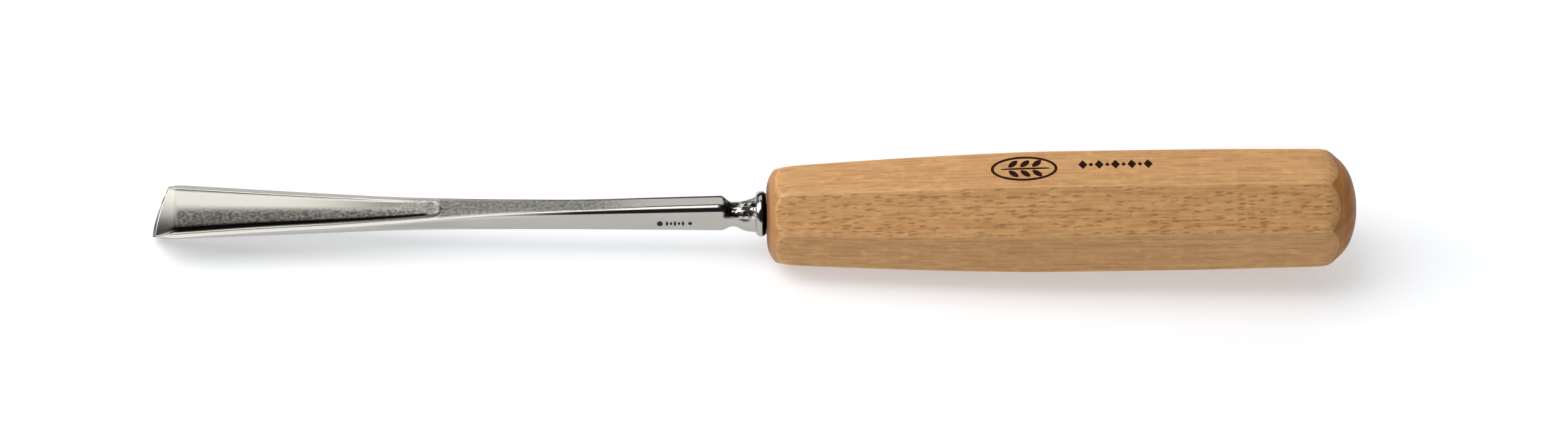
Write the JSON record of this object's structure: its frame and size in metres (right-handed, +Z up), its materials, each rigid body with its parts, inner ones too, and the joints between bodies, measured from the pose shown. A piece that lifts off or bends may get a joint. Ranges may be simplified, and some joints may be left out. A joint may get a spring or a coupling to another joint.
{
  "type": "v parting tool",
  "caption": "Woodcarving V parting tool: a forged steel V blade with shank, neck and bolster on a tang driven into an octagonal beech handle.",
  "frame": {"origin": "under the middle of the tool's length, on the surface that the handle's lowest facet rests on", "axes": "+X along the tool from the cutting end toward the butt of the handle, +Z up out of the open side of the V"},
  "size_m": [0.2552, 0.0254, 0.0255],
  "materials": {
    "blade_steel": "ground and polished, darker forged skin in the groove and behind it",
    "handle_beech": "satin clear lacquer over turned and planed beech",
    "ferrule_steel": "plain drawn steel"
  },
  "bodies": {
    "root": {"blade": "blade_steel", "handle": "handle_beech", "inner_ferrule": "ferrule_steel"}
  },
  "joints": []
}
